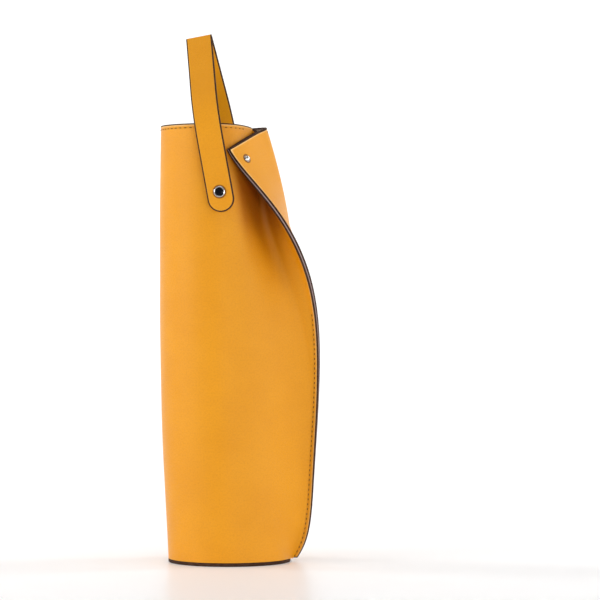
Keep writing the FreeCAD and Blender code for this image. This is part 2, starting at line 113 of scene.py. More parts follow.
# Lengths in metres of the finishes and the small forms
FOLD_START, FOLD_DEPTH = 0.0005, 0.0085
DRIFT_DEPTH, DRIFT_FADE = 0.00005, 0.014
RUBBED_AND_HIGHLIT_WIDTH, PULL_WIDTH = 0.0013, 0.0013
# Radii of the rings of painted shade round the flap's rivet and the snap, where the leather is also pressed,
# and how far they fade
WALL_PRESS_SHADE, STRAP_PRESS_SHADE, PRESS_SHADE_FADE = 0.0034, 0.0049, 0.0011
FAR_OFF = 1.0
BASE_SOFT, STRAP_SOFT = 0.0007, 0.0011
CREASE_SPAN, CREASE_REACH, STRAP_STEP = 0.007, 0.0035, 0.0004
FASTENER_PLAY = 0.00005
SNAP_RING, SNAP_WELL, SNAP_TALL = 0.0046, 0.0034, 0.0013
SNAP_LIP, SNAP_GAP, SNAP_BOSS = 0.0003, 0.00004, 0.00055
REAR_DOME, FLAP_DOME = (0.0046, 0.0016), (0.0029, 0.0021)

STRAP_BEND = math.radians(38.0)
# A stitch's share of its pitch, and the seeds of the stitches' small turns
SEAM_STITCH_SHARE, RIM_STITCH_SHARE = 0.64, 0.62
SEAM_SEED, RIM_SEED = 4, 9

# Counts of points along the lines of the meshes
WALL_COLUMNS, WALL_ROWS = 241, 169
LINING_COLUMNS, LINING_ROWS = 161, 91
SEAM_POINTS, RIM_POINTS, FOOT_POINTS = 261, 401, 61
SEAM_SEWN_POINTS, SEAM_SEARCH_POINTS = 241, 121
RIM_SEWN_POINTS, RIM_SEARCH_POINTS = 301, 61
LEG_POINTS, BEND_POINTS, FOLD_POINTS = 40, 30, 10
STRAP_COLUMNS, STRAP_ROWS, CREASE_ROWS, END_ROWS = 13, 64, 41, 15
BASE_STEPS, RING_STEPS, DOME_STEPS = 192, 72, 64


def length(name, description, default):
    return bpy.props.FloatProperty(
        name=name, description=description, default=default, min=0.0, precision=5, subtype="DISTANCE",
        unit="LENGTH")


def colour(name, description, default):
    return bpy.props.FloatVectorProperty(
        name=name, description=description, default=default, min=0.0, max=1.0, size=3, subtype="COLOR")


class CarrierSizes(bpy.types.PropertyGroup):
    body_height: length("Body height", "Height of the wall's rim above the floor", 0.356)
    base_radius: length("Base radius", "Radius of the round base", 0.05)
    leather: length("Leather", "Thickness of the wall's leather", 0.0011)
    lining: length("Lining", "Thickness of the wall's lining", 0.0006)
    fin_gap: length("Fin gap", "Gap between the two layers of the fin seam", 0.00025)
    base_leather: length("Base leather", "Thickness of the round base leather", 0.003)
    wall_trim: length("Wall trim", "How far the wall reaches below the top of the base", 0.0006)
    seam_inset: length("Seam inset", "Distance of the seam's stitches from the edge", 0.0033)
    seam_pitch: length("Seam pitch", "Distance between two stitches of the seam", 0.004)
    rim_inset: length("Rim inset", "Distance of the rim's stitches from the edge", 0.0033)
    rim_pitch: length("Rim pitch", "Distance between two stitches of the rim", 0.0047)
    thread_radius: length("Thread", "Radius of the sewing thread", 0.00032)
    edge_bulge: length("Edge bulge", "How far the edge paint stands out", 0.0003)
    edge_wrap: length("Edge wrap", "How far the edge paint reaches onto the faces of the fold", 0.0004)
    seam_wrap: length("Seam wrap", "How far the edge paint reaches onto the faces of fin and rim", 0.0008)
    # On the flap the dark edge band is wider: edge paint and painted shadow
    flap_paint_and_shadow: length("Flap paint and shadow", "How far the edge paint and a painted shadow reach onto the flap's face", 0.0013)
    edge_film: length("Edge film", "Thickness of the edge paint on the faces", 0.00008)
    strap_width: length("Strap width", "Width of the strap", 0.0214)
    strap_layer: length("Strap layer", "Thickness of one of the strap's two layers", 0.0014)
    strap_end: length("Strap end", "Length of the strap below its fastener", 0.0164)
    strap_bend_radius: length("Strap bend", "Radius of the legs where they turn to the crease", 0.07)
    handle_rise: length("Handle rise", "Height of the strap's crease above the rim", 0.074)
    fastener_drop: length("Fastener drop", "Depth of the snap and the rear rivet below the rim", 0.0555)
    crease_radius: length("Crease radius", "Radius of the strap's fold at the crease", 0.0016)
    crease_lift: length("Crease lift", "How far the fold is drawn up", 0.0017)
    socket_seat: length("Socket seat", "Distance from the snap's ball to the strap", 0.00235)
    rear_gap: length("Rear gap", "Distance from the wall to the strap's rear leg", 0.00185)


class CarrierColours(bpy.types.PropertyGroup):
    leather: colour("Leather", "Main colour of the coated leather", (0.715, 0.284, 0.004))
    leather_light: colour("Light leather", "Colour of the leather where it is lighter", (0.745, 0.304, 0.006))
    # The pale strip along the edges is partly rubbed leather and partly painted highlight
    leather_rubbed_and_highlit: colour("Rubbed and highlit leather", "Colour of the pale strip along edges: rubbed leather and painted highlight", (0.93, 0.66, 0.30))
    # Colour of the leather's random flecks, and of painted shade in the fold under the flap and round the
    # fasteners
    leather_fleck_and_painted_shade: colour("Leather flecks and painted shade", "Colour of the leather's flecks, and of the painted shade in its fold and round fasteners", (0.36, 0.10, 0.004))
    edge_paint: colour("Edge paint", "Colour of the painted edges", (0.040, 0.018, 0.010))
    edge_rubbed: colour("Rubbed paint", "Colour of the edge paint where it is rubbed", (0.085, 0.045, 0.030))
    layer_line: colour("Layer line", "Colour of the cut lining between two layers", (0.40, 0.31, 0.31))
    lining: colour("Lining", "Colour of the lining", (0.29, 0.205, 0.145))
    thread: colour("Thread", "Colour of the sewing thread", (0.085, 0.032, 0.006))
    board: colour("Board", "Colour of the stiffening board", (0.32, 0.22, 0.13))


# Geometry helpers


def units(vectors):
    return vectors / np.linalg.norm(vectors, axis=-1, keepdims=True)


def clamped_knots(count):
    return np.concatenate([[0.0] * 3, np.linspace(0.0, 1.0, count - 2), [1.0] * 3])


def cubic_basis(count, places):
    """Values of the clamped cubic B-spline's functions at the places, one row for each place."""
    knots = clamped_knots(count)
    places = np.clip(np.asarray(places, float), 0.0, 1.0 - 1e-12)[:, None]
    values = ((knots[:-1] <= places) & (places < knots[1:])).astype(float)
    for degree in (1, 2, 3):
        near = knots[degree:-1] - knots[:-degree - 1]
        far = knots[degree + 1:] - knots[1:-degree]
        rise = np.where(near > 0, (places - knots[:-degree - 1]) / np.where(near > 0, near, 1.0), 0.0)
        fall = np.where(far > 0, (knots[degree + 1:] - places) / np.where(far > 0, far, 1.0), 0.0)
        values = rise * values[:, :-1] + fall * values[:, 1:]
    return values


def greville(count):
    """Heights of the sections, as shares: the middles of the spline's knots."""
    knots = clamped_knots(count)
    return [knots[index + 1:index + 4].mean() for index in range(count)]


def fin_side(tip, root, foot, side, shoulder, bow, bend, lean_out, gap):
    """Poles of one panel, from its free edge along the fin and round its foot."""
    reach = np.linalg.norm(tip - root)
    along = (tip - root) / reach
    lift = np.array((along[1], -along[0], 0.0)) * side * gap / 2
    near = min(bend, reach * FIN_NEAR_SHARE)
    middle = root + along * (near + (reach - near) * FIN_MIDDLE_SHARE) + bow
    climb = units(tip - foot)
    outward = np.array((climb[1], -climb[0], 0.0)) * side
    turn = units(units(shoulder - foot) - climb + outward * lean_out)
    corner = foot + turn * bend
    rest = shoulder - corner
    last = corner + units(rest) * min(bend, np.linalg.norm(rest) * BEND_REACH_SHARE)
    flat = [tip, middle, foot + climb * min(bend, np.linalg.norm(tip - foot) * FIN_NEAR_SHARE), foot]
    return [place + lift for place in flat] + [corner, last]


def section_poles(row, up_share, sizes):
    """Poles of one level of the wall, from the fin's front edge round the tube to its back edge."""
    (tip_x, tip_y, drop, root_x, root_y, valley_x, valley_y, left, tube, front, back, lift, bow, bend,
     lean_out) = row
    wall = sizes.leather + sizes.lining
    bottom = sizes.base_leather - sizes.wall_trim
    radius = sizes.base_radius * tube - wall
    first = math.radians(front)
    step = (math.radians(back - 360) - first) / (TUBE_POLES - 1)
    turns = first + step * np.arange(TUBE_POLES)
    pole_radius = radius * 3 / (2 + math.cos(step))
    round_row = np.stack([np.cos(turns), np.sin(turns), np.zeros(TUBE_POLES)], 1) * pole_radius
    round_row[:, 0] += sizes.base_radius * (tube - left)
    tip, root, valley = (
        np.array((across, -forth, 0.0)) * sizes.base_radius
        for across, forth in ((tip_x, tip_y), (root_x, root_y), (valley_x, valley_y)))
    along = units(tip - root)
    away = np.array((-along[1], along[0], 0.0)) * wall
    tip, root, valley = (place + away * lift for place in (tip, root, valley))
    fold = (away * bow, sizes.base_radius * bend, lean_out, sizes.fin_gap)
    front_row = fin_side(tip, root, valley, 1, round_row[0], *fold)
    back_row = fin_side(tip, root, root, -1, round_row[-1], *fold)
    poles = np.array(front_row + list(round_row) + back_row[::-1])
    shares = np.array(list(DROP_SHARES) + [0.0] * TUBE_POLES + list(DROP_SHARES[::-1]))
    poles[:, 2] += bottom + up_share * (sizes.body_height - bottom) + sizes.body_height * drop * shares
    return poles


class Wall:
    """The wall's inner face: u runs round it from the fin's front edge to its back edge, v runs up."""

    def __init__(self, sizes):
        ups = greville(len(SECTION_SHARES))
        self.net = np.array([section_poles(row, up, sizes) for row, up in zip(SECTION_SHARES, ups)])
        self.thickness = sizes.leather + sizes.lining
        self.lining = sizes.lining
        bottom = sizes.base_leather - sizes.wall_trim
        self.fastener_up = (sizes.body_height - sizes.fastener_drop - bottom) / (sizes.body_height - bottom)
        self.floor_up = sizes.wall_trim / (sizes.body_height - bottom)

    def inner(self, rounds, ups):
        across = cubic_basis(self.net.shape[1], rounds)
        upward = cubic_basis(self.net.shape[0], ups)
        return np.einsum("jr,ic,rck->jik", upward, across, self.net)

    def outward(self, rounds, ups):
        rounds, ups = np.asarray(rounds, float), np.asarray(ups, float)
        step = 1e-4
        ahead, behind = np.minimum(rounds + step, 1.0), np.maximum(rounds - step, 0.0)
        above, below = np.minimum(ups + step, 1.0), np.maximum(ups - step, 0.0)
        slope_u = self.inner(ahead, ups) - self.inner(behind, ups)
        slope_v = self.inner(rounds, above) - self.inner(rounds, below)
        return units(np.cross(slope_v, slope_u))

    def layer(self, rounds, ups, depth):
        return self.inner(rounds, ups) + self.outward(rounds, ups) * depth

    def rim_wrap(self, rounds, sizes):
        """How far the edge paint of the rim reaches onto the faces, more on the flap, where the wider dark
        band is partly painted shadow along the flap's top edge.
        """
        return np.interp(rounds, (FLAP_START_SHARE, FLAP_FULL_SHARE), (sizes.seam_wrap, sizes.flap_paint_and_shadow))

    def spot(self, round_share, up_share):
        """A point of the outer face and the direction out of it."""
        point = self.layer([round_share], [up_share], self.thickness)[0, 0]
        return Vector(point), Vector(self.outward([round_share], [up_share])[0, 0])


def run_lengths(points):
    """Length along a line of points, from its first point."""
    steps = np.linalg.norm(np.diff(points, axis=0), axis=1)
    return np.concatenate([[0.0], np.cumsum(steps)])


def along_line(marks, run, line):
    """Points of a line at the marks of its run."""
    return np.stack([np.interp(marks, run, column) for column in line.T], -1)


def grid_faces(rows, columns, start=0, flip=False):
    corner = np.arange(rows - 1)[:, None] * columns + np.arange(columns - 1)[None, :] + start
    quads = np.stack([corner, corner + columns, corner + columns + 1, corner + 1], -1).reshape(-1, 4)
    return quads[:, ::-1] if flip else quads


def ring_strip(first, second):
    """Faces between two rings of as many points."""
    return np.stack([first, second, np.roll(second, -1), np.roll(first, -1)], 1)


def clean_faces(faces, marks):
    """The faces without repeated corners, and the marks of those that still are faces."""
    clean = [(list(dict.fromkeys(int(corner) for corner in face)), mark) for face, mark in zip(faces, marks)]
    return zip(*(pair for pair in clean if len(pair[0]) > 2))


def new_piece(name, points, faces, finishes, face_slots=None, uv=None, values=None, sharp=40.0):
    mesh = bpy.data.meshes.new(name)
    mesh.from_pydata(np.asarray(points).tolist(), [], [list(face) for face in faces])
    for finish in finishes:
        mesh.materials.append(bpy.data.materials[finish])
    if face_slots is not None:
        mesh.polygons.foreach_set("material_index", np.asarray(face_slots, np.int32))
    corners = np.zeros(len(mesh.loops), np.int32)
    mesh.loops.foreach_get("vertex_index", corners)
    if uv is not None:
        layer = mesh.uv_layers.new(name="Sheet")
        layer.data.foreach_set("uv", np.asarray(uv, np.float32)[corners].ravel())
    for key, data in (values or {}).items():
        attribute = mesh.attributes.new(key, "FLOAT", "POINT")
        attribute.data.foreach_set("value", np.asarray(data, np.float32).ravel())
    mesh.validate()
    mesh.shade_smooth()
    mesh.set_sharp_from_angle(angle=math.radians(sharp))
    piece = bpy.data.objects.new(name, mesh)
    bpy.context.scene.collection.objects.link(piece)
    return piece


def solid_piece(*parts, **options):
    """A new piece whose closed mesh is turned to face outward."""
    piece = new_piece(*parts, **options)
    mesh = piece.data
    mesh.calc_loop_triangles()
    corners = np.zeros(len(mesh.vertices) * 3)
    mesh.vertices.foreach_get("co", corners)
    index = np.zeros(len(mesh.loop_triangles) * 3, np.int32)
    mesh.loop_triangles.foreach_get("vertices", index)
    a, b, c = corners.reshape(-1, 3)[index.reshape(-1, 3).T]
    if np.einsum("ij,ij->", a, np.cross(b, c)) < 0:
        mesh.flip_normals()
    return piece


def shell(outer, inner):
    """Points, faces and material slots of a closed sheet: 0 outside, 1 inside, 2 along the border."""
    rows, columns = outer.shape[:2]
    count = rows * columns
    points = np.concatenate([outer.reshape(-1, 3), inner.reshape(-1, 3)])
    front = grid_faces(rows, columns)
    back = grid_faces(rows, columns, count, flip=True)
    index = np.arange(count).reshape(rows, columns)
    border = np.concatenate([index[0, :-1], index[:-1, -1], index[-1, :0:-1], index[:0:-1, 0]])
    rim = ring_strip(border + count, border)
    slots = [0] * len(front) + [1] * len(back) + [2] * len(rim)
    return points, np.concatenate([front, back, rim]), slots


def turned(profile, place, axis, steps):
    """Points, faces and the faces' bands of a round solid, from a profile of (radius, height) that
    starts and ends on the axis."""
    turn = np.array(Vector((0.0, 0.0, 1.0)).rotation_difference(Vector(axis)).to_matrix())
    angles = np.linspace(0.0, 2 * math.pi, steps, endpoint=False)
    points, rings, faces, bands = [], [], [], []
    for radius, height in profile:
        if radius <= 0:
            rings.append(np.full(steps, len(points)))
            points.append((0.0, 0.0, height))
        else:
            rings.append(len(points) + np.arange(steps))
            points += [(radius * math.cos(a), radius * math.sin(a), height) for a in angles]
    for band, (low, high) in enumerate(zip(rings, rings[1:])):
        faces += zip(low, np.roll(low, -1), np.roll(high, -1), high)
        bands += [band] * steps
    return np.array(points) @ turn.T + np.array(place), *clean_faces(faces, bands)


def arc(radius, height, start, end, centre=(0.0, 0.0), count=7):
    """Profile points on a quarter of an ellipse or a part of it, angles in degrees."""
    turns = np.radians(np.linspace(start, end, count))
    return [(centre[0] + radius * math.cos(t), centre[1] + height * math.sin(t)) for t in turns]


# Shader helpers


def plug(tree, node, inputs):
    """Links the inputs that are sockets and sets the others."""
    for key, value in inputs.items():
        if isinstance(value, bpy.types.NodeSocket):
            tree.links.new(value, node.inputs[key])
        else:
            node.inputs[key].default_value = value
    return node


def add_node(tree, kind, inputs=None, **settings):
    node = tree.nodes.new(kind)
    for key, value in settings.items():
        setattr(node, key, value)
    return plug(tree, node, inputs or {})


def calc(tree, operation, *values):
    return add_node(tree, "ShaderNodeMath", dict(enumerate(values)), operation=operation).outputs[0]


def vector_calc(tree, operation, inputs):
    return add_node(tree, "ShaderNodeVectorMath", inputs, operation=operation).outputs


def noise(tree, place, scale, detail, **more):
    inputs = {"Vector": place, "Scale": scale, "Detail": detail, **more}
    return add_node(tree, "ShaderNodeTexNoise", inputs).outputs


def ranged(tree, value, low, high, first=0.0, last=1.0, kind="SMOOTHSTEP"):
    """The values from low to high, drawn from first to last."""
    inputs = {"Value": value, "From Min": low, "From Max": high, "To Min": first, "To Max": last}
    return add_node(tree, "ShaderNodeMapRange", inputs, interpolation_type=kind).outputs["Result"]


def evenly(tree, share, first, last):
    return ranged(tree, share, 0.0, 1.0, first, last, "LINEAR")


def shader_group(name, inputs, *outputs):
    """A group of value nodes. An input without a default is a place."""
    tree = bpy.data.node_groups.new(name, "ShaderNodeTree")
    for key, default in inputs.items():
        kind = "NodeSocketVector" if default is None else "NodeSocketFloat"
        socket = tree.interface.new_socket(key, in_out="INPUT", socket_type=kind)
        if default is not None:
            socket.default_value = default
    for key in outputs:
        tree.interface.new_socket(key, in_out="OUTPUT", socket_type="NodeSocketFloat")
    return tree, tree.nodes.new("NodeGroupInput").outputs, tree.nodes.new("NodeGroupOutput")


def grain_group():
    """Pebbled grain of coated leather: its height, a slow drift of colour and small specks."""
    tree, given, out = shader_group(
        "Leather grain", {"Place": None, "Scale": 1250.0, "Drift scale": 22.0}, "Height", "Drift", "Speck")
    place = given["Place"]
    wander = noise(tree, place, 420.0, 2.0)["Color"]
    push = vector_calc(tree, "SUBTRACT", {0: wander, 1: (0.5, 0.5, 0.5)})[0]
    shrink = vector_calc(tree, "SCALE", {0: push, "Scale": 0.0009})[0]
    moved = vector_calc(tree, "ADD", {0: place, 1: shrink})[0]
    cells = add_node(
        tree, "ShaderNodeTexVoronoi", {"Vector": moved, "Scale": given["Scale"], "Randomness": 0.95},
        feature="DISTANCE_TO_EDGE").outputs["Distance"]
    pebble = ranged(tree, cells, 0.0, 0.22)
    fine = noise(tree, place, 3800.0, 3.0)["Fac"]
    drift = noise(tree, place, given["Drift scale"], 3.0, Roughness=0.55)["Fac"]
    plug(tree, out, {
        "Height": calc(tree, "MULTIPLY_ADD", fine, 0.35, pebble), "Drift": ranged(tree, drift, 0.32, 0.68),
        "Speck": noise(tree, place, 700.0, 4.0)["Fac"]})


def rubbed_and_highlit_group():
    """Mask of the pale strip along an edge, partly rubbed leather and partly painted highlight, from the
    distance to that edge.
    """
    tree, given, out = shader_group("Rubbed and highlit edge", {"Gap": 1.0, "Place": None, "Width": 0.0008}, "Mask")
    ragged = noise(tree, given["Place"], 260.0, 3.0)["Fac"]
    spread = calc(tree, "MULTIPLY_ADD", ragged, given["Width"], given["Width"])
    plug(tree, out, {"Mask": ranged(tree, given["Gap"], 0.0, spread, 1.0, 0.0)})


def stitch_pull_group():
    """Dip that a row of stitches draws into leather, from the distance to an edge and the run along it."""
    tree, given, out = shader_group(
        "Stitch pull", {"Gap": 1.0, "Run": 0.0, "Inset": 0.0033, "Pitch": 0.004}, "Dip")
    off = calc(tree, "ABSOLUTE", calc(tree, "SUBTRACT", given["Gap"], given["Inset"]))
    band = ranged(tree, off, 0.0, PULL_WIDTH, 1.0, 0.0)
    count = calc(tree, "DIVIDE", given["Run"], given["Pitch"])
    swing = calc(tree, "COSINE", calc(tree, "MULTIPLY", count, 2 * math.pi))
    share = calc(tree, "MULTIPLY_ADD", swing, 0.25, 0.75)
    plug(tree, out, {"Dip": calc(tree, "MULTIPLY", band, share)})


def scuff_group():
    """Fine scratches and smears for metal, lacquer and paint."""
    tree, given, out = shader_group("Scuffs", {"Place": None, "Scale": 900.0}, "Mask", "Height")
    smear = noise(tree, given["Place"], given["Scale"], 5.0)["Fac"]
    line = noise(tree, given["Place"], 2600.0, 2.0, Distortion=1.5)["Fac"]
    plug(tree, out, {"Mask": ranged(tree, smear, 0.35, 0.7), "Height": line})


def weave_group():
    """Plain weave of a thin lining."""
    tree, given, out = shader_group("Lining weave", {"Place": None, "Scale": 1500.0}, "Height", "Fleck")
    place = given["Place"]
    inputs = {"Vector": place, "Scale": given["Scale"], "Distortion": 0.6, "Detail": 1.0}
    warp, weft = (
        add_node(tree, "ShaderNodeTexWave", inputs, bands_direction=way).outputs["Fac"] for way in ("X", "Z"))
    plug(tree, out, {
        "Height": calc(tree, "MULTIPLY", warp, weft), "Fleck": noise(tree, place, 600.0, 4.0)["Fac"]})


def group_node(tree, name, inputs):
    return add_node(tree, "ShaderNodeGroup", inputs, node_tree=bpy.data.node_groups[name]).outputs


def new_material(name):
    material = bpy.data.materials.new(name)
    material.use_nodes = True
    return material.node_tree, material.node_tree.nodes["Principled BSDF"]


def shaded(tone, share):
    return tuple(value * share for value in tone)


def mix_colour(tree, share, first, second):
    first, second = (
        tone if isinstance(tone, bpy.types.NodeSocket) else (*tone, 1.0) for tone in (first, second))
    return add_node(tree, "ShaderNodeMix", {0: share, 6: first, 7: second}, data_type="RGBA").outputs[2]


def bump(tree, height, strength, distance):
    inputs = {"Height": height, "Strength": strength, "Distance": distance}
    return add_node(tree, "ShaderNodeBump", inputs).outputs["Normal"]


def object_place(tree):
    return tree.nodes.new("ShaderNodeTexCoord").outputs["Object"]


def attribute_value(tree, name):
    return add_node(tree, "ShaderNodeAttribute", attribute_name=name).outputs["Fac"]


def stitch_dip(tree, row, sizes):
    """The pull of the seam's or the rim's stitches."""
    return group_node(tree, "Stitch pull", {
        "Gap": attribute_value(tree, row + "_gap"), "Run": attribute_value(tree, row + "_run"),
        "Inset": getattr(sizes, row + "_inset"), "Pitch": getattr(sizes, row + "_pitch")})["Dip"]


def leather_material(name, colours, sizes, stitched, fastener, ring, rubbed, shade):
    """Coated leather with a pebbled grain, a pale strip along the edges that is partly rubbed leather and
    partly painted highlight, a ring of painted shade round a fastener where the leather is pressed, an
    overall painted shade by its share and, on the wall, painted shade in the fold and in the dips of its
    stitches, whose pull also shapes the bump."""
    tree, shader = new_material(name)
    place = add_node(tree, "ShaderNodeUVMap", uv_map="Sheet").outputs["UV"]
    grain = group_node(tree, "Leather grain", {"Place": place})
    gap = attribute_value(tree, "edge_gap")
    # A pale strip along the edges: partly rubbed leather, partly painted highlight of the edge
    rubbed_and_highlit_mask = group_node(tree, "Rubbed and highlit edge", {"Gap": gap, "Place": place, "Width": RUBBED_AND_HIGHLIT_WIDTH})["Mask"]
    # A shade share below one darkens the leather's whole colour: painted shade
    dark, light = (shaded(tone, shade) for tone in (colours.leather, colours.leather_light))
    tone = mix_colour(tree, grain["Drift"], dark, light)
    fleck = ranged(tree, grain["Speck"], 0.42, 0.72, 0.0, 0.16, "LINEAR")
    tone = mix_colour(tree, fleck, tone, colours.leather_fleck_and_painted_shade)
    tone = mix_colour(tree, calc(tree, "MULTIPLY", rubbed_and_highlit_mask, rubbed), tone, colours.leather_rubbed_and_highlit)
    # A ring of painted shade round the fastener, where the leather is also pressed
    near = object_place(tree) if stitched else place
    off = vector_calc(tree, "DISTANCE", {0: near, 1: fastener})["Value"]
    pressed = ranged(tree, off, ring, ring + PRESS_SHADE_FADE, 0.95, 0.0)
    tone = mix_colour(tree, pressed, tone, shaded(colours.leather_fleck_and_painted_shade, 0.5))
    height = grain["Height"]
    if stitched:
        dip = calc(tree, "MAXIMUM", stitch_dip(tree, "seam", sizes), stitch_dip(tree, "rim", sizes))
        # Painted shade in the dips that the stitches draw into the leather; the dips also shape the bump
        tone = mix_colour(tree, calc(tree, "MULTIPLY", dip, 0.3), tone, shaded(colours.leather, 0.55))
        # Painted shade in the fold under the flap
        tone = mix_colour(tree, attribute_value(tree, "fold_shade"), tone, colours.leather_fleck_and_painted_shade)
        height = calc(tree, "MULTIPLY_ADD", dip, -3.0, height)
    plug(tree, shader, {
        "Base Color": tone, "Roughness": evenly(tree, grain["Speck"], 0.34, 0.44),
        "Normal": bump(tree, height, 0.5, 0.00014), "Specular IOR Level": 0.23})


def edge_paint_material(colours):
    """Dark lacquer on the cut edges, a little rubbed, with the cut lining's line where it shows."""
    tree, shader = new_material("Edge paint")
    scuffs = group_node(tree, "Scuffs", {"Place": object_place(tree), "Scale": 340.0})
    share = calc(tree, "MULTIPLY", scuffs["Mask"], 0.6)
    paint = mix_colour(tree, share, colours.edge_paint, colours.edge_rubbed)
    plug(tree, shader, {
        "Base Color": mix_colour(tree, attribute_value(tree, "layer_line"), paint, colours.layer_line),
        "Roughness": evenly(tree, scuffs["Mask"], 0.55, 0.72),
        "Normal": bump(tree, scuffs["Height"], 0.3, 0.0001), "Specular IOR Level": 0.05})


def cloth_material(name, tone, scale, rough, sheen):
    """Woven, spun or pressed fibres."""
    tree, shader = new_material(name)
    weave = group_node(tree, "Lining weave", {"Place": object_place(tree), "Scale": scale})
    plug(tree, shader, {
        "Base Color": mix_colour(tree, weave["Fleck"], shaded(tone, 0.6), tone),
        "Roughness": evenly(tree, weave["Height"], rough, rough + 0.12),
        "Normal": bump(tree, weave["Height"], 0.4, 0.0001),
        "Sheen Weight": sheen, "Specular IOR Level": 0.12})


def hard_material(name, tone, scuffed, scale, smooth, rough, relief, level):
    """Metal or enamel with fine scuffs: the relief is a bump's strength and distance, and the level
    names one more input and its value."""
    tree, shader = new_material(name)
    scuffs = group_node(tree, "Scuffs", {"Place": object_place(tree), "Scale": scale})
    plug(tree, shader, {
        "Base Color": mix_colour(tree, scuffs["Mask"], tone, scuffed),
        "Roughness": evenly(tree, scuffs["Mask"], smooth, rough),
        "Normal": bump(tree, scuffs["Height"], *relief), level[0]: level[1]})


def metal_material(name, tone, smooth, rough):
    hard_material(name, tone, shaded(tone, 0.82), 1400.0, smooth, rough, (0.08, 0.00005), ("Metallic", 1.0))


def seat(piece, body, slot, *nodes):
    """The piece moves with its body and stands for the nodes; the slot is not used."""
    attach(piece, body)
    if nodes:
        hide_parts(*nodes)
    return piece


def dress_node(node, finish):
    """Gives a CAD node that stays in view its finish."""
    frame["nodes"][node].material_slots[0].material = bpy.data.materials[finish]


class CARRIER_OT_finishes(bpy.types.Operator):
    """Makes the shared effects and the finishes of the carrier"""

    bl_idname = "carrier.finishes"
    bl_label = "Finishes"

    def execute(self, context):
        colours = context.scene.carrier_colours
        sizes = context.scene.carrier_sizes
        for build in (grain_group, rubbed_and_highlit_group, stitch_pull_group, scuff_group, weave_group):
            build()
        rivet = Wall(sizes).spot(FLAP_ROUND_SHARE, FLAP_UP_SHARE)[0]
        # The rubbed share sets the pale strip along the edges, which is partly painted highlight
        leather_material("Wall leather", colours, sizes, True, rivet, WALL_PRESS_SHADE, rubbed=0.85, shade=1.0)
        snap = (sizes.strap_end, 0.0, 0.0)
        # The strap and base leather is a slightly darker copy of the wall's: painted shade
        leather_material("Strap leather", colours, sizes, False, snap, STRAP_PRESS_SHADE, rubbed=0.2, shade=0.97)
        edge_paint_material(colours)
        cloth_material("Lining cloth", colours.lining, scale=1500.0, rough=0.72, sheen=0.25)
        cloth_material("Sewing thread", colours.thread, scale=2600.0, rough=0.6, sheen=0.0)
        cloth_material("Pressed board", colours.board, scale=700.0, rough=0.8, sheen=0.1)
        metal_material("Bright chrome", (0.60, 0.59, 0.58), smooth=0.05, rough=0.14)
        metal_material("Plated steel", (0.60, 0.59, 0.57), smooth=0.42, rough=0.58)
        # A near-black gloss for the snap's boss: painted dark reflection of a chrome cap
        hard_material(
            "Black enamel", (0.0025, 0.0025, 0.004), (0.007, 0.007, 0.009), scale=1100.0, smooth=0.06,
            rough=0.16, relief=(0.05, 0.00004), level=("Specular IOR Level", 0.12))
        return {"FINISHED"}


